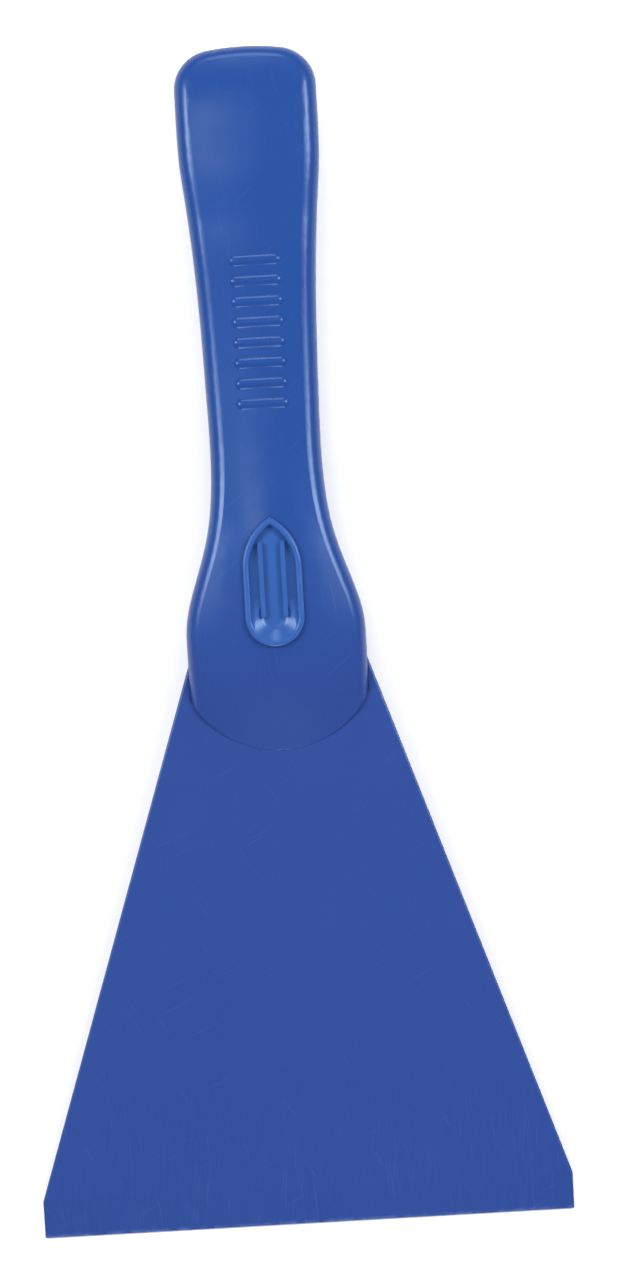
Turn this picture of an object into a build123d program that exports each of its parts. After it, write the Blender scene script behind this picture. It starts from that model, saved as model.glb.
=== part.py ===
from build123d import *
import os
from math import sqrt

# Hand-held windshield ice scraper: a moulded blade clamped between two hollow handle shells.
#
# Frame: +X across the blade, +Y from the scraping edge towards the handle's end, +Z out of the
# front face. The origin is under the middle of the tool, on the plane that the back of the grip
# touches. A station is a distance in millimetres along the tool from the scraping edge, and a
# level is a height in millimetres above the parting plane, where the two shells meet.

# ---- Driving dimensions, in millimetres ----
length = 254.0
edge_width = 114.3
parting = 10.61
wall = 2.4
edge_round = 3.6  # rounding between the shells' crowned faces and their sides
shadow_gap = 0.3  # groove all round the handle where the shells meet, per shell

# ---- Blade ----
blade_level = 1.6  # the blade's faces lie at this level and its negative
tang_level = 1.4  # the same for the tang and for the shallow seats that take the shells' lips
edge_land = 8.0  # parallel-sided strip along the scraping edge, bevelled on the front
land_thickness = 1.9
edge_thickness = 0.7
taper_station = 96.0  # from here to the land the front face thins the blade
blade_side_round = 0.45
shoulder_gap = 0.1
tang_end = 188.0
tang_half = 7.0
tang_root_half = 16.0
tang_root_station = 130.0
tang_waist = (9.2, 148.0)
tang_neck_station = 158.0

# ---- Handle outline, right half: (half width, station) ----
kink_half = 19.3
kink_station = 121.5
side_points = [
    (kink_half, 127.0),
    (17.05, 138.2),
    (13.9, 148.0),
    (12.1, 161.0),
    (12.1, 178.0),
    (13.35, 210.0),
    (14.5, 223.0),
    (15.3, 240.0),
]
end_crown_radius = 55.0
end_corner_radius = 8.5

# ---- Lips: where the shells end on the blade, a blunt tongue seen from the front ----
lip_tip_station = 102.3
lip_corner_station = 114.0
lip_pull_half = 11.0
lip_round = 0.15
lip_gap = 0.04  # between a lip's tip and the end of its seat on the blade

# ---- Face profiles: (station, level of the crown, crown radius across) ----
front_profile = [
    (92.0, -1.9, 55.0),
    (99.0, 0.4, 55.0),
    (106.0, 3.2, 55.0),
    (113.0, 6.2, 55.0),
    (121.0, 8.8, 58.0),
    (130.0, 10.05, 56.0),
    (139.0, 10.2, 52.0),
    (147.0, 9.9, 49.0),
    (154.0, 9.3, 50.0),
    (162.0, 8.7, 55.0),
    (175.0, 8.15, 66.0),
    (186.0, 8.0, 76.0),
    (198.0, 8.2, 88.0),
    (210.0, 8.6, 100.0),
    (222.0, 8.85, 110.0),
    (234.0, 8.8, 118.0),
    (242.0, 8.45, 120.0),
    (247.0, 7.8, 120.0),
    (251.0, 6.75, 120.0),
    (255.0, 5.3, 120.0),
    (262.0, 2.3, 120.0),
]
back_profile = [
    (92.0, -0.4, 55.0),
    (99.0, 1.4, 55.0),
    (106.0, 3.6, 55.0),
    (113.0, 5.4, 58.0),
    (121.0, 6.4, 76.0),
    (130.0, 6.7, 100.0),
    (140.0, 6.8, 120.0),
    (150.0, 7.1, 120.0),
    (165.0, 7.6, 120.0),
    (182.0, 8.4, 120.0),
    (202.0, 9.55, 120.0),
    (220.0, 10.5, 120.0),
    (234.0, 10.2, 120.0),
    (242.0, 9.65, 120.0),
    (247.0, 8.9, 120.0),
    (251.0, 7.85, 120.0),
    (255.0, 6.5, 120.0),
    (262.0, 3.6, 120.0),
]
form_half_width = 22.0
form_skirt = 10.0  # how far the forms run past the parting plane before they are trimmed

# ---- Inside of the shells ----
cavity_station = 112.0
joint_station = 123.0  # the tongue and its rebate start here and run round the grip
tongue_height = 1.0
tongue_outer = 1.3  # distance of the tongue's outer face from the outline
joint_gap = 0.1
rib_thickness = 1.6
rib_gap = 0.3
ribs = [(160.0, tang_level), (200.0, rib_gap), (218.0, rib_gap)]  # (station, level of the foot)

# ---- Screws: one thread-forming size, driven from the back ----
neck_screws = [(10.0, 124.0), (-10.0, 124.0)]
tang_screw = (0.0, 172.0)
grip_screw = (0.0, 236.0)
neck_seat = -3.1  # level of the face that the head pulls on
grip_seat = -4.5
screw_length = 9.0
thread_radius = 1.45
core_radius = 1.05
thread_pitch = 1.1
thread_turns = 6
head_radius = 3.0
head_height = 2.0
recess_width = 0.7
recess_reach = 3.0
recess_depth = 1.1
pilot_radius = 1.5
clearance_radius = 1.7
counterbore_radius = 3.3
front_boss_radius = 3.2
back_boss_radius = 4.9

# ---- Thumb rest: a plate let into the front of the neck ----
rest_half = 6.4
rest_centre_station = 131.0  # centre of its round lower end
rest_spring_station = 141.5  # where its pointed upper end starts
rest_apex_station = 152.5
rest_level = 10.8
rest_thickness = 2.2
rest_rim = 1.5
rest_depth = 1.55
rest_rib_spacing = 4.8
rest_rib_width = 1.0
rest_rib_drop = 0.4  # the ribs' tops lie this far below the rim
rest_rib_foot_station = 130.9
rest_rib_head_station = 147.2
bowl_foot_radius = 2.3  # the bowl at the recess's round end: its radii at the floor and at the rim
bowl_rim_radius = 5.5
bowl_foot_round = 3.0
bowl_arms = (127.5, 135.0)  # stations between which the bowl's wall runs out beside the ribs
bowl_skin = 0.7  # distance of the bowl's outer side from the outline
rest_round = 0.6
rest_gap = 0.06
shelf_thickness = 2.0
shelf_margin = 2.0
leg_stations = [131.0, 145.0]
leg_width = 3.0
leg_thickness = 1.4
leg_reach = 3.6
hook_reach = 0.5

# ---- Grip bars on the front of the grip ----
bar_count = 8
bar_pitch = 4.4
bar_first_station = 176.8
bar_length = 8.8  # between the centres of its round ends
bar_radius = 1.8
bar_height = 0.32  # how far a bar stands proud of the front face

front = 1
back = -1


def along(station):
    """The y coordinate of a station."""
    return station - length / 2


def level_plane(level):
    """The horizontal plane at a level."""
    return Plane.XY.offset(parting + level)


def spot(point):
    """The (x, y) place of a (half width, station) pair."""
    return (point[0], along(point[1]))


def crown_level(profile, station):
    """The level of a profile's crown at a station, taken straight between its points."""
    for (start, start_level, _), (end, end_level, _) in zip(profile, profile[1:]):
        if start <= station <= end:
            return start_level + (end_level - start_level) * (station - start) / (end - start)


# ---- Plan sketches, all seen from the front ----
plan_start = along(front_profile[0][0] + 1)


def handle_plan(inset, first_station=None):
    """The handle's outline, its sides moved inwards by an inset, kept only past a station.

    The end's crown arc and its corner arcs are tangent to each other and to the grip's sides.
    """
    grip_half = side_points[-1][0] - inset
    crown_radius = end_crown_radius - inset
    corner_radius = end_corner_radius - inset
    centre_station = length - end_crown_radius
    corner_run = crown_radius - corner_radius
    corner_centre_half = grip_half - corner_radius
    line_end_station = centre_station + sqrt(corner_run**2 - corner_centre_half**2)
    touch_half = corner_centre_half * crown_radius / corner_run
    touch_station = centre_station + sqrt(crown_radius**2 - touch_half**2)
    with BuildSketch() as plan:
        with BuildLine():
            run_on = Line(
                (kink_half - inset, plan_start), spot((kink_half - inset, side_points[0][1]))
            )
            side = Spline(
                [spot((half - inset, station)) for half, station in side_points],
                tangents=[(0, 1), (0, 1)],
            )
            grip_side = Line(side @ 1, (grip_half, along(line_end_station)))
            corner = TangentArc(grip_side @ 1, spot((touch_half, touch_station)), tangent=(0, 1))
            RadiusArc(corner @ 1, (0, along(length - inset)), -crown_radius)
            Line((0, plan_start), run_on @ 0)
            mirror(about=Plane.YZ)
        make_face()
        if first_station is not None:
            with Locations((0, along(first_station))):
                Rectangle(
                    3 * kink_half, length, align=(Align.CENTER, Align.MAX), mode=Mode.SUBTRACT
                )
    return plan.sketch


with BuildSketch() as beyond_lip:
    with BuildLine():
        lip_corner = (kink_half, along(lip_corner_station))
        lip_pull_y = along((4 * lip_tip_station - lip_corner_station) / 3)
        lip_curve = Bezier(
            (-lip_corner[0], lip_corner[1]),
            (-lip_pull_half, lip_pull_y),
            (lip_pull_half, lip_pull_y),
            lip_corner,
        )
        Polyline(
            lip_curve @ 1,
            (form_half_width, lip_corner[1]),
            (form_half_width, plan_start - 1),
            (-form_half_width, plan_start - 1),
            (-form_half_width, lip_corner[1]),
            lip_curve @ 0,
        )
    make_face()

with BuildSketch() as rest_plan:
    with BuildLine():
        rest_side = Line(
            spot((rest_half, rest_centre_station)),
            spot((rest_half, rest_spring_station)),
        )
        RadiusArc((0, along(rest_centre_station - rest_half)), rest_side @ 0, -rest_half)
        TangentArc(rest_side @ 1, (0, along(rest_apex_station)), tangent=(0, 1))
        mirror(about=Plane.YZ)
    make_face()


def band_plan(outer, inner, first_station):
    """The band between two insets of the handle's outline, past a station."""
    with BuildSketch() as band:
        add(handle_plan(outer, first_station))
        add(handle_plan(inner, first_station - 1), mode=Mode.SUBTRACT)
    return band.sketch


# ---- Forms shared by the two shells; side is front or back ----
def crowned_form(profile, side, lift):
    """The solid under a crowned face that follows a profile, lifted by a distance."""
    with BuildPart() as form:
        for station, level, crown_radius in profile:
            crown_level = level + lift
            edge_level = crown_level - crown_radius + sqrt(crown_radius**2 - form_half_width**2)
            crown_z = parting + side * crown_level
            edge_z = parting + side * edge_level
            foot_z = parting - side * form_skirt
            with BuildSketch(Plane.XZ.offset(-along(station))):
                with BuildLine():
                    crown = ThreePointArc(
                        (-form_half_width, edge_z), (0, crown_z), (form_half_width, edge_z)
                    )
                    Polyline(
                        crown @ 1, (form_half_width, foot_z), (-form_half_width, foot_z), crown @ 0
                    )
                make_face()
        loft()
    return form.part


def outer_half(profile, side):
    """Half of the handle's outer form, rounded along its rim and cut off along the lip."""
    with BuildPart() as half:
        with BuildSketch(level_plane(0)):
            add(handle_plan(0))
        extrude(amount=2 * form_skirt, both=True)
        add(crowned_form(profile, side, 0), mode=Mode.INTERSECT)
        crowned_face = half.faces().sort_by(Axis.Z)[-1 if side == front else 0]
        rim = crowned_face.edges().filter_by(lambda edge: edge.center().Y > plan_start + 1)
        fillet(rim, radius=edge_round)
        split(bisect_by=level_plane(0), keep=Keep.TOP if side == front else Keep.BOTTOM)
        with BuildSketch(level_plane(0)):
            add(beyond_lip.sketch)
        extrude(amount=side * 2 * form_skirt, mode=Mode.SUBTRACT)
        lip_wall = half.faces().sort_by(Axis.Y)[0]
        lip_edges = lip_wall.edges().filter_by(
            lambda edge: side * (edge.center().Z - parting) > 0.1 and abs(edge.tangent_at(0.5).Z) < 0.9
        )
        fillet(lip_edges, radius=lip_round)
    return half.part


def cavity(profile, side, boss_radius):
    """The room inside a shell, with its ribs and screw bosses left standing."""
    with BuildPart() as room:
        with BuildSketch(level_plane(0)):
            add(handle_plan(wall, cavity_station))
        extrude(amount=side * 2 * form_skirt)
        add(crowned_form(profile, side, -wall), mode=Mode.INTERSECT)
        for station, foot_level in ribs:
            with BuildSketch(level_plane(side * foot_level)):
                with Locations((0, along(station))):
                    Rectangle(2 * form_half_width, rib_thickness)
            extrude(amount=side * 2 * form_skirt, mode=Mode.SUBTRACT)
        for place, foot_level in bosses:
            with BuildSketch(level_plane(side * foot_level)):
                with Locations(spot(place)):
                    Circle(boss_radius)
            extrude(amount=side * 2 * form_skirt, mode=Mode.SUBTRACT)
    return room.part


os.makedirs("parts", exist_ok=True)

seats = [(place, neck_seat) for place in neck_screws]
seats += [(tang_screw, grip_seat), (grip_screw, grip_seat)]
bosses = [(place, tang_level) for place in neck_screws]
bosses += [(tang_screw, tang_level), (grip_screw, 0.0)]

# ---- Blade: flat back, tapered front, and a tang that runs up between the shells ----
with BuildPart() as blade:
    with BuildSketch(level_plane(-blade_level)):
        with BuildLine():
            shoulder = kink_station - shoulder_gap
            slope = (edge_width / 2 - kink_half) / (kink_station - edge_land)
            shoulder_half = kink_half + (kink_station - shoulder) * slope
            outline = Polyline(
                (0, along(0)),
                spot((edge_width / 2, 0)),
                spot((edge_width / 2, edge_land)),
                spot((shoulder_half, shoulder)),
                spot((tang_root_half, shoulder)),
                spot((tang_root_half, tang_root_station)),
                spot(tang_waist),
                spot((tang_half, tang_neck_station)),
                spot((tang_half, tang_end - tang_half)),
            )
            RadiusArc(outline @ 1, (0, along(tang_end)), -tang_half)
            mirror(about=Plane.YZ)
        make_face()
    extrude(amount=2 * blade_level)
    # The wedge of material that the taper and the bevel take off the front.
    with BuildSketch(Plane.YZ):
        with BuildLine():
            back_z = parting - blade_level
            front_z = parting + blade_level
            Polyline(
                (along(taper_station), front_z),
                (along(edge_land), back_z + land_thickness),
                (along(0), back_z + edge_thickness),
                (along(-1), back_z + edge_thickness),
                (along(-1), front_z + 1),
                (along(taper_station), front_z + 1),
                close=True,
            )
        make_face()
    extrude(amount=edge_width, both=True, mode=Mode.SUBTRACT)
    slanted_sides = blade.faces().filter_by(
        lambda face: abs(face.normal_at().Z) < 0.01 and abs(face.center().X) > kink_half
    )
    side_edges = slanted_sides.edges().filter_by(lambda edge: edge.length > edge_land + 2)
    fillet(side_edges, radius=blade_side_round)
    # The tang and the seats for the two lips are a little thinner than the blade.
    for face_level, inwards in ((blade_level, back), (-blade_level, front)):
        with BuildSketch(level_plane(face_level)):
            with Locations((0, along(taper_station))):
                Rectangle(
                    2 * (kink_half + joint_gap), length, align=(Align.CENTER, Align.MIN)
                )
            with Locations((0, -lip_gap)):
                add(beyond_lip.sketch, mode=Mode.SUBTRACT)
        extrude(amount=inwards * (blade_level - tang_level), mode=Mode.SUBTRACT)
    with Locations(*[(*spot(place), parting) for place in (*neck_screws, tang_screw)]):
        Hole(clearance_radius)

# ---- Front shell ----
with BuildPart() as handle_front_shell:
    add(outer_half(front_profile, front))
    for number in range(bar_count):
        station = bar_first_station + number * bar_pitch
        axis_z = parting + crown_level(front_profile, station) + bar_height - bar_radius
        with Locations((0, along(station), axis_z)):
            Cylinder(bar_radius, bar_length, rotation=(0, 90, 0))
        with GridLocations(bar_length, 0, 2, 1):
            with Locations((0, along(station), axis_z)):
                Sphere(bar_radius)
    add(cavity(front_profile, front, front_boss_radius), mode=Mode.SUBTRACT)
    # Shelf under the thumb rest, the recess that takes the plate, and the slots for its legs.
    shelf_level = rest_level - rest_thickness - shelf_thickness
    with BuildSketch(level_plane(shelf_level)):
        add(rest_plan.sketch)
        offset(amount=shelf_margin)
    extrude(amount=shelf_thickness + 0.6)
    with BuildSketch(level_plane(rest_level - rest_thickness)):
        add(rest_plan.sketch)
        offset(amount=rest_gap)
    extrude(amount=form_skirt, mode=Mode.SUBTRACT)
    with BuildSketch(level_plane(shelf_level)):
        for station in leg_stations:
            with Locations((0, along(station) + hook_reach / 2)):
                Rectangle(leg_width + 2 * rest_gap, leg_thickness + hook_reach + 2 * rest_gap)
    extrude(amount=2 * shelf_thickness, mode=Mode.SUBTRACT)
    # Room for the blade, the rebate for the back shell's tongue, and the groove outside it.
    with BuildSketch(level_plane(0)):
        with Locations((0, along(kink_station))):
            Rectangle(3 * kink_half, length, align=(Align.CENTER, Align.MAX))
    extrude(amount=tang_level, mode=Mode.SUBTRACT)
    with BuildSketch(level_plane(0)):
        add(band_plan(tongue_outer - joint_gap, wall + joint_gap, joint_station - joint_gap))
    extrude(amount=tongue_height + joint_gap, mode=Mode.SUBTRACT)
    with BuildSketch(level_plane(0)):
        add(band_plan(0, shadow_gap, kink_station))
    extrude(amount=shadow_gap, mode=Mode.SUBTRACT)
    for place, seat in seats:
        with BuildSketch(level_plane(0)):
            with Locations(spot(place)):
                Circle(pilot_radius)
        extrude(amount=seat + screw_length + 2 * rib_gap, mode=Mode.SUBTRACT)

# ---- Back shell ----
with BuildPart() as handle_back_shell:
    add(outer_half(back_profile, back))
    add(cavity(back_profile, back, back_boss_radius), mode=Mode.SUBTRACT)
    with BuildSketch(level_plane(0)):
        with Locations((0, along(kink_station))):
            Rectangle(3 * kink_half, length, align=(Align.CENTER, Align.MAX))
    extrude(amount=-tang_level, mode=Mode.SUBTRACT)
    with BuildSketch(level_plane(0)):
        add(band_plan(0, shadow_gap, kink_station))
    extrude(amount=-shadow_gap, mode=Mode.SUBTRACT)
    with BuildSketch(level_plane(0)):
        add(band_plan(tongue_outer, wall, joint_station))
    extrude(amount=tongue_height)
    for place, seat in seats:
        with BuildSketch(level_plane(0)):
            with Locations(spot(place)):
                Circle(clearance_radius)
        extrude(amount=seat, mode=Mode.SUBTRACT)
        with BuildSketch(level_plane(seat)):
            with Locations(spot(place)):
                Circle(counterbore_radius)
        extrude(amount=-2 * form_skirt, mode=Mode.SUBTRACT)

# ---- Thumb rest ----
floor_level = rest_level - rest_depth
rib_level = rest_level - rest_rib_drop
rib_length = rest_rib_head_station - rest_rib_foot_station

with BuildPart() as rest_recess:
    with BuildSketch(level_plane(floor_level)):
        add(rest_plan.sketch)
        offset(amount=-rest_rim)
    extrude(amount=rest_thickness)
    with BuildSketch(level_plane(floor_level)):
        with GridLocations(rest_rib_spacing, 0, 2, 1):
            with Locations((0, along(rest_rib_foot_station + rib_length / 2))):
                SlotOverall(rib_length, rest_rib_width, rotation=90)
    extrude(amount=rib_level - floor_level, mode=Mode.SUBTRACT)

# The bowl's hollow: a shallow cone with a rounded foot, drawn out along the ribs.
bowl_centre = along(rest_centre_station)
bowl_plane = Plane(origin=(0, bowl_centre, parting), x_dir=(1, 0, 0), z_dir=(0, -1, 0))
with BuildPart() as bowl_hollow:
    with BuildSketch(bowl_plane) as bowl_section:
        with BuildLine():
            bowl_wall = FilletPolyline(
                (0, floor_level),
                (bowl_foot_radius, floor_level),
                (bowl_rim_radius, rest_level),
                radius=bowl_foot_round,
            )
            Polyline(bowl_wall @ 1, (0, rest_level), bowl_wall @ 0)
        make_face()
    extrude(amount=-rest_half)
    mirror(about=Plane.YZ)
    revolve(bowl_section.sketch, axis=Axis((0, bowl_centre, 0), (0, 0, 1)))

# The bowl's wall, which fills the recess's round end and runs out beside the ribs.
with BuildPart() as bowl_fill:
    with BuildSketch(level_plane(floor_level)):
        add(rest_plan.sketch)
        offset(amount=-bowl_skin)
    extrude(amount=rest_depth)
    with BuildSketch(Plane.YZ):
        with BuildLine():
            Polyline(
                (along(bowl_arms[0]), parting + rest_level),
                (along(bowl_arms[1]), parting + floor_level),
                (along(rest_apex_station), parting + floor_level),
                (along(rest_apex_station), parting + rest_level),
                close=True,
            )
        make_face()
    extrude(amount=rest_half, both=True, mode=Mode.SUBTRACT)
    add(bowl_hollow.part, mode=Mode.SUBTRACT)

with BuildPart() as thumb_rest:
    with BuildSketch(level_plane(rest_level - rest_thickness)):
        add(rest_plan.sketch)
    extrude(amount=rest_thickness)
    add(rest_recess.part, mode=Mode.SUBTRACT)
    fillet(thumb_rest.edges().group_by(Axis.Z)[-1], radius=rest_round)
    add(bowl_fill.part)
    with BuildSketch(Plane.YZ):
        for station in leg_stations:
            with BuildLine():
                leg_top = parting + rest_level - rest_thickness
                hook_top = leg_top - shelf_thickness - rest_gap
                leg_foot = leg_top - leg_reach
                low_side = along(station) - leg_thickness / 2
                high_side = along(station) + leg_thickness / 2
                Polyline(
                    (low_side, leg_top),
                    (high_side, leg_top),
                    (high_side, hook_top),
                    (high_side + hook_reach, hook_top),
                    (high_side - hook_reach, leg_foot),
                    (low_side, leg_foot),
                    close=True,
                )
            make_face()
    extrude(amount=leg_width / 2, both=True)

# ---- Screws: pan heads with a cross recess, ring threads and a point ----
with BuildPart() as screw:
    with BuildSketch(Plane.XZ):
        with BuildLine():
            thread_start = screw_length - thread_turns * thread_pitch - 1.2
            outline_points = [(0, -head_height), (head_radius * 0.7, -head_height)]
            outline_points += [(head_radius, -head_height * 0.55), (head_radius, 0), (core_radius, 0)]
            for turn in range(thread_turns):
                root = thread_start + turn * thread_pitch
                outline_points += [
                    (core_radius, root),
                    (thread_radius, root + thread_pitch * 0.45),
                    (thread_radius, root + thread_pitch * 0.6),
                ]
            tip_start = thread_start + thread_turns * thread_pitch
            outline_points += [(core_radius, tip_start), (0.25, screw_length), (0, screw_length)]
            Polyline(*outline_points, close=True)
        make_face()
    revolve(axis=Axis.Z)
    with BuildSketch(Plane.XY.offset(-head_height)):
        Rectangle(recess_reach, recess_width)
        Rectangle(recess_width, recess_reach)
    extrude(amount=recess_depth, mode=Mode.SUBTRACT)

with BuildPart() as handle_screws:
    with Locations(*[(*spot(place), parting + seat) for place, seat in seats]):
        add(screw.part)

pieces = {
    "blade": blade,
    "handle_front_shell": handle_front_shell,
    "handle_back_shell": handle_back_shell,
    "thumb_rest": thumb_rest,
    "handle_screws": handle_screws,
}
for name, piece in pieces.items():
    piece.part.label = name
    export_step(piece.part, f"parts/{name}.step")
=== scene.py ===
import math

import bpy
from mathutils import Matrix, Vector


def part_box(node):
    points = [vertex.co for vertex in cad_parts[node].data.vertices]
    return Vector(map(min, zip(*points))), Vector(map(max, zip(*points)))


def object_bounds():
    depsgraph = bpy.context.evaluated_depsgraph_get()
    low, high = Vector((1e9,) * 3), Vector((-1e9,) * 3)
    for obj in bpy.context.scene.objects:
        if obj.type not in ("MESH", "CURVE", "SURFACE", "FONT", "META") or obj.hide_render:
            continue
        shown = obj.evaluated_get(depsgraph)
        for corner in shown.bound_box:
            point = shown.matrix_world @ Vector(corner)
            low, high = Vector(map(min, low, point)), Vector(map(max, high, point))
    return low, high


# The looks of a windshield ice scraper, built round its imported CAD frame. Everything is in
# metres unless a comment says otherwise: +X across the blade, +Y from the scraping edge to the
# handle's end, +Z out of the front. A station is a distance from the scraping edge.

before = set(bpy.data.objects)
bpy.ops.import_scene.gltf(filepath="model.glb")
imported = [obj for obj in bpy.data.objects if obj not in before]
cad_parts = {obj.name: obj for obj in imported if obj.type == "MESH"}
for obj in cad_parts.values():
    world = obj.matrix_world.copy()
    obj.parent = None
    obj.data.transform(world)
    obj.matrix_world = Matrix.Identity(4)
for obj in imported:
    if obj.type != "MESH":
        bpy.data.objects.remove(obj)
cad_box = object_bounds()

# ---- Camera and picture ----
PICTURE_HEIGHT = 0.2757  # what the picture's long side spans at the blade's face
ROLL = math.radians(3.28)  # the handle's end leans to the picture's left
AIM = (0.00719, -0.00139)  # the point of the tool in the middle of the picture
CAMERA_DISTANCE = 1.2
SENSOR_MM = 36.0

# ---- Colours, linear ----
BLUE_BLADE = (0.0152, 0.0408, 0.187)
BLUE_HANDLE = (0.0088, 0.0420, 0.195)
BLUE_REST = (0.0190, 0.0700, 0.258)
SCUFFED = (0.19, 0.27, 0.50, 1.0)  # plastic turned pale by wear
ZINC = (0.52, 0.53, 0.54)
ZINC_WARM = (0.56, 0.54, 0.47)
FLOOR_WHITE = (0.92, 0.92, 0.92)
SKY_WHITE = (1.0, 1.0, 1.0, 1.0)

# ---- Plastic, lengths in millimetres ----
PLASTIC_IOR = 1.46
PLASTIC_SPECULAR = 0.36
PLASTIC_GLINT = (0.66, 0.84, 1.0, 1.0)  # the cool cast of its highlights
HANDLE_ROUGHNESS = 0.26
BLADE_ROUGHNESS = 0.27
ROUGHNESS_SPREAD = 0.04  # how far it strays to either side
SPECK_SIZE = 0.9
SPECK_STRENGTH = 0.12
PEEL_FINE_SIZE = 0.35  # the finer grain on the orange peel
PEEL_FINE_HEIGHT = 0.0012
SCRATCH_SIZE = (0.16, 16, 16)
SCRATCH_SOFTNESS = 0.05  # how far the noise rises from a scratch's rim to its full depth
SCRATCH_PATCH = (3, 9, 9)  # scratches come in patches of this size
MARK_PALENESS = 0.06
MARK_ROUGHNESS = 0.12
WEAR_PALENESS = 0.18
FOOT_STATION, FOOT_REACH = 116.0, 30.0  # the handle's blue turns from the blade's to its own
SCRAPE_STATION, SCRAPE_REACH = 4.0, 34.0  # the scrapes on the blade thin out
WEAR_STATION, WEAR_REACH = 0.25, 0.5  # the worn line along the edge ends

# ---- Floor and light ----
FLOOR_REACH = 6.0  # from the middle of the tool to each side
FLOOR_ROUGHNESS = 0.9
AMBIENT = 0.46


# ---- Node helpers ----
class Tree:
    """A material's node tree with short calls to add and link nodes."""

    def __init__(self, name):
        self.material = bpy.data.materials.new(name)
        self.material.use_nodes = True
        self.nodes = self.material.node_tree.nodes
        self.links = self.material.node_tree.links
        self.shader = self.nodes["Principled BSDF"]
        self.place = self.add("ShaderNodeTexCoord").outputs["Object"]

    def add(self, kind, **settings):
        """Adds a node of a kind and gives it its settings."""
        node = self.nodes.new(kind)
        for key, value in settings.items():
            setattr(node, key, value)
        return node

    def feed(self, socket, value):
        """Links an output to a socket, or sets the socket to a plain value."""
        if isinstance(value, bpy.types.NodeSocket):
            self.links.new(value, socket)
        else:
            socket.default_value = value

    def grain(self, size, detail=3.0, turn=0.0):
        """Noise round 0.5, with spots of a size in millimetres along X, Y and Z.

        It is turned in degrees about Z.
        """
        mapping = self.add("ShaderNodeMapping", vector_type="TEXTURE")
        self.feed(mapping.inputs["Vector"], self.place)
        mapping.inputs["Rotation"].default_value = (0, 0, math.radians(turn))
        mapping.inputs["Scale"].default_value = [length / 1000 for length in size]
        noise = self.add("ShaderNodeTexNoise")
        self.feed(noise.inputs["Vector"], mapping.outputs["Vector"])
        noise.inputs["Scale"].default_value = 1.0
        noise.inputs["Detail"].default_value = detail
        return noise.outputs["Fac"]

    def remap(self, value, low, high, to_low=0.0, to_high=1.0):
        """The value, carried from one range to another and clamped there."""
        node = self.add("ShaderNodeMapRange")
        self.feed(node.inputs["Value"], value)
        node.inputs["From Min"].default_value = low
        node.inputs["From Max"].default_value = high
        node.inputs["To Min"].default_value = to_low
        node.inputs["To Max"].default_value = to_high
        return node.outputs["Result"]

    def math(self, operation, a, b):
        """Two values put together by a Math node's operation."""
        node = self.add("ShaderNodeMath", operation=operation)
        self.feed(node.inputs[0], a)
        self.feed(node.inputs[1], b)
        return node.outputs[0]

    def along_tool(self, station, reach):
        """1 from the scraping edge to a station, fading to 0 over a reach, in millimetres."""
        split = self.add("ShaderNodeSeparateXYZ")
        self.feed(split.inputs[0], self.place)
        start = cad_box[0].y + station / 1000
        return self.remap(split.outputs["Y"], start, start + reach / 1000, 1.0, 0.0)

    def blend(self, amount, a, b):
        """Colour a where amount is 0, colour b where it is 1."""
        node = self.add("ShaderNodeMix", data_type="RGBA")
        self.feed(node.inputs["Factor"], amount)
        self.feed(node.inputs["A"], a)
        self.feed(node.inputs["B"], b)
        return node.outputs["Result"]

    def bump(self, height, distance, under=None):
        """A bump of a height map, whose full range is a distance in millimetres."""
        node = self.add("ShaderNodeBump")
        self.feed(node.inputs["Height"], height)
        node.inputs["Distance"].default_value = distance / 1000
        if under is not None:
            self.feed(node.inputs["Normal"], under)
        return node.outputs["Normal"]


def shade(colour, factor):
    """A colour as four numbers, made lighter or darker."""
    return (*[channel * factor for channel in colour], 1.0)


def even(size):
    """A size for grain that is the same along X, Y and Z."""
    return (size, size, size)


# ---- Materials ----
def scratches(tree, turn, rarity):
    """Thin straight scratches that run at an angle to the tool's length, in patches.

    The rarity is the level that the noise has to pass for a scratch to show.
    """
    line = tree.grain(SCRATCH_SIZE, detail=1.0, turn=turn)
    line = tree.remap(line, rarity, rarity + SCRATCH_SOFTNESS)
    patch = tree.grain(SCRATCH_PATCH, detail=1.0, turn=turn)
    return tree.math("MULTIPLY", line, tree.remap(patch, 0.45, 0.6))


def crossed_scratches(tree, *runs):
    """Two runs of scratches, each given by its angle and its rarity."""
    return tree.math("MAXIMUM", *[scratches(tree, turn, rarity) for turn, rarity in runs])


def specks(tree):
    """Where single grains of pigment show."""
    noise = tree.grain(even(SPECK_SIZE), detail=2.0)
    return tree.remap(noise, 0.55, 0.75, 0.0, SPECK_STRENGTH)


def scuff(tree, base, where, strength):
    """A colour, turned pale by a strength where a mask is 1."""
    return tree.blend(tree.math("MULTIPLY", where, strength), base, SCUFFED)


def finish_plastic(tree, base, marks, roughness, patch, peel_size, peel_height, mark_depth):
    """Gives a plastic its colour, uneven gloss, orange peel and sunken marks.

    The patch is the size of the areas of even gloss. All but the roughness is in millimetres.
    """
    low, high = roughness - ROUGHNESS_SPREAD, roughness + ROUGHNESS_SPREAD
    rough = tree.remap(tree.grain(patch, detail=4.0), 0.25, 0.75, low, high)
    rough = tree.math("ADD", rough, tree.math("MULTIPLY", marks, MARK_ROUGHNESS))
    normal = tree.bump(tree.grain(even(peel_size), detail=1.0), peel_height)
    fine = tree.grain(even(PEEL_FINE_SIZE), detail=2.0)
    normal = tree.bump(fine, PEEL_FINE_HEIGHT, normal)
    inputs = tree.shader.inputs
    tree.feed(inputs["Base Color"], base)
    tree.feed(inputs["Roughness"], rough)
    tree.feed(inputs["Normal"], tree.bump(marks, -mark_depth, normal))
    inputs["IOR"].default_value = PLASTIC_IOR
    inputs["Specular IOR Level"].default_value = PLASTIC_SPECULAR
    inputs["Specular Tint"].default_value = PLASTIC_GLINT
    return tree.material


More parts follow.
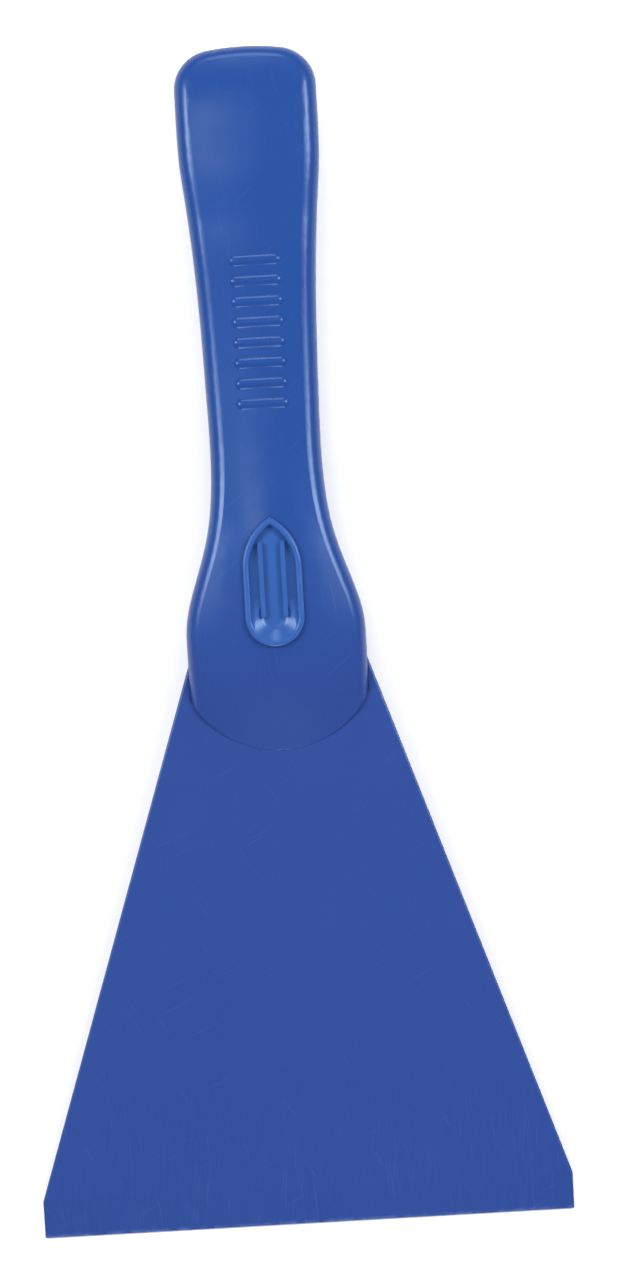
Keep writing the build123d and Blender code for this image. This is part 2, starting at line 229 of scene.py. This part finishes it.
def moulded_plastic(name, colour, foot=None):
    """Blue moulded polypropylene: flow marks, pigment, orange peel and light handling marks.

    A foot is a second colour, which the plastic takes on towards the blade.
    """
    tree = Tree(name)
    flow = tree.grain((34, 14, 20), detail=2.0, turn=12.0)
    marks = crossed_scratches(tree, (9.0, 0.70), (-52.0, 0.72))
    base = tree.blend(flow, shade(colour, 0.92), shade(colour, 1.08))
    if foot is not None:
        base = tree.blend(tree.along_tool(FOOT_STATION, FOOT_REACH), base, shade(foot, 1.0))
    base = tree.blend(specks(tree), base, shade(colour, 1.35))
    base = scuff(tree, base, marks, MARK_PALENESS)
    return finish_plastic(
        tree, base, marks, HANDLE_ROUGHNESS,
        patch=(11, 15, 11), peel_size=2.2, peel_height=0.010, mark_depth=0.0015,
    )


def scraping_plastic(name, colour):
    """The blade's plastic: the same, with scrapes and a scuffed line along the scraping edge."""
    tree = Tree(name)
    flow = tree.grain((34, 46, 20), detail=2.0)
    scrapes = crossed_scratches(tree, (4.0, 0.64), (-7.0, 0.66))
    scrapes = tree.math("MULTIPLY", scrapes, tree.along_tool(SCRAPE_STATION, SCRAPE_REACH))
    stray = crossed_scratches(tree, (31.0, 0.72), (-64.0, 0.72))
    marks = tree.math("MAXIMUM", scrapes, stray)
    patchy = tree.remap(tree.grain(even(2)), 0.35, 0.6)
    worn = tree.math("MULTIPLY", tree.along_tool(WEAR_STATION, WEAR_REACH), patchy)
    base = tree.blend(flow, shade(colour, 0.95), shade(colour, 1.05))
    base = tree.blend(specks(tree), base, shade(colour, 1.3))
    base = scuff(tree, base, marks, MARK_PALENESS)
    base = scuff(tree, base, worn, WEAR_PALENESS)
    return finish_plastic(
        tree, base, marks, BLADE_ROUGHNESS,
        patch=(14, 22, 14), peel_size=2.6, peel_height=0.008, mark_depth=0.002,
    )


def zinc_plate(name):
    """Bright zinc plate: a mottled film, turning marks and a little grime."""
    tree = Tree(name)
    film = tree.blend(tree.grain(even(0.8)), shade(ZINC, 0.82), shade(ZINC_WARM, 1.05))
    grime = tree.remap(tree.grain((0.5, 0.5, 0.3), detail=5.0), 0.55, 0.8, 0.0, 0.5)
    turned = tree.grain((0.9, 0.9, 0.06), detail=2.0)
    inputs = tree.shader.inputs
    tree.feed(inputs["Base Color"], tree.blend(grime, film, shade(ZINC, 0.35)))
    tree.feed(inputs["Roughness"], tree.remap(turned, 0.3, 0.7, 0.24, 0.42))
    tree.feed(inputs["Normal"], tree.bump(turned, 0.006))
    inputs["Metallic"].default_value = 1.0
    return tree.material


def floor_paper(name):
    """White paper with a faint fibre."""
    tree = Tree(name)
    fibre = tree.grain(even(2.5), detail=5.0)
    colour = tree.blend(fibre, shade(FLOOR_WHITE, 0.98), shade(FLOOR_WHITE, 1.02))
    tree.feed(tree.shader.inputs["Base Color"], colour)
    tree.feed(tree.shader.inputs["Normal"], tree.bump(fibre, 0.01))
    tree.shader.inputs["Roughness"].default_value = FLOOR_ROUGHNESS
    return tree.material


def dress(node, material):
    """Gives a CAD node one material in all its slots."""
    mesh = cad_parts[node].data
    if not mesh.materials:
        mesh.materials.append(material)
    for index in range(len(mesh.materials)):
        mesh.materials[index] = material


handle_plastic = moulded_plastic("handle_plastic", BLUE_HANDLE, foot=BLUE_BLADE)
dress("blade", scraping_plastic("blade_plastic", BLUE_BLADE))
dress("handle_front_shell", handle_plastic)
dress("handle_back_shell", handle_plastic)
dress("thumb_rest", moulded_plastic("rest_plastic", BLUE_REST))
dress("handle_screws", zinc_plate("screw_zinc"))


# ---- Floor ----
def make_floor():
    """A plane on which the tool rests with its scraping edge and the back of its grip."""
    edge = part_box("blade")[0]
    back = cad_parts["handle_back_shell"].data.vertices
    slope = min((v.co.z - edge.z) / (v.co.y - edge.y) for v in back)
    reach = FLOOR_REACH
    corners = [
        (x, y, edge.z + (y - edge.y) * slope)
        for x, y in ((-reach, -reach), (reach, -reach), (reach, reach), (-reach, reach))
    ]
    mesh = bpy.data.meshes.new("floor")
    mesh.from_pydata(corners, [], [(0, 1, 2, 3)])
    mesh.materials.append(floor_paper("floor_paper"))
    floor = bpy.data.objects.new("floor", mesh)
    bpy.context.scene.collection.objects.link(floor)


make_floor()


# ---- Light: a copy stand's boxes all round, and a small one high up behind the handle ----
def softbox(name, heading, tilt, distance, size, power):
    """A round area light aimed at the tool, out of the camera's sight.

    The heading is its compass angle from +Y towards +X, the tilt its angle from straight above.
    """
    heading = math.radians(heading)
    tilt = math.radians(tilt)
    across = distance * math.sin(tilt)
    height = distance * math.cos(tilt)
    place = Vector((across * math.sin(heading), across * math.cos(heading), height))
    light = bpy.data.lights.new(name, "AREA")
    light.shape = "DISK"
    light.size = size
    light.energy = power
    lamp = bpy.data.objects.new(name, light)
    lamp.location = place
    lamp.rotation_euler = (-place).to_track_quat("-Z", "Y").to_euler()
    lamp.visible_camera = False
    bpy.context.scene.collection.objects.link(lamp)


softbox("left", heading=-68, tilt=43, distance=1.3, size=0.52, power=13.0)
softbox("right", heading=68, tilt=43, distance=1.3, size=0.52, power=13.0)
softbox("top", heading=0, tilt=56, distance=1.3, size=0.45, power=3.5)
softbox("front", heading=180, tilt=72, distance=1.3, size=0.6, power=8.0)
softbox("high", heading=-34, tilt=15.5, distance=1.41, size=0.18, power=0.95)


def make_world():
    """An even white surround, and a view transform that leaves the colours as they are."""
    world = bpy.data.worlds.new("studio")
    world.use_nodes = True
    background = world.node_tree.nodes["Background"]
    background.inputs["Color"].default_value = SKY_WHITE
    background.inputs["Strength"].default_value = AMBIENT
    bpy.context.scene.world = world
    bpy.context.scene.view_settings.view_transform = "Standard"


make_world()


# ---- Camera ----
def make_camera():
    """A camera straight above the front, rolled as the tool lies in the picture."""
    lens = bpy.data.cameras.new("camera")
    lens.sensor_width = SENSOR_MM
    lens.lens = SENSOR_MM * CAMERA_DISTANCE / PICTURE_HEIGHT
    camera = bpy.data.objects.new("camera", lens)
    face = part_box("blade")[1].z
    camera.location = (*AIM, face + CAMERA_DISTANCE)
    camera.rotation_euler = (0, 0, -ROLL)
    bpy.context.scene.collection.objects.link(camera)
    bpy.context.scene.camera = camera


make_camera()
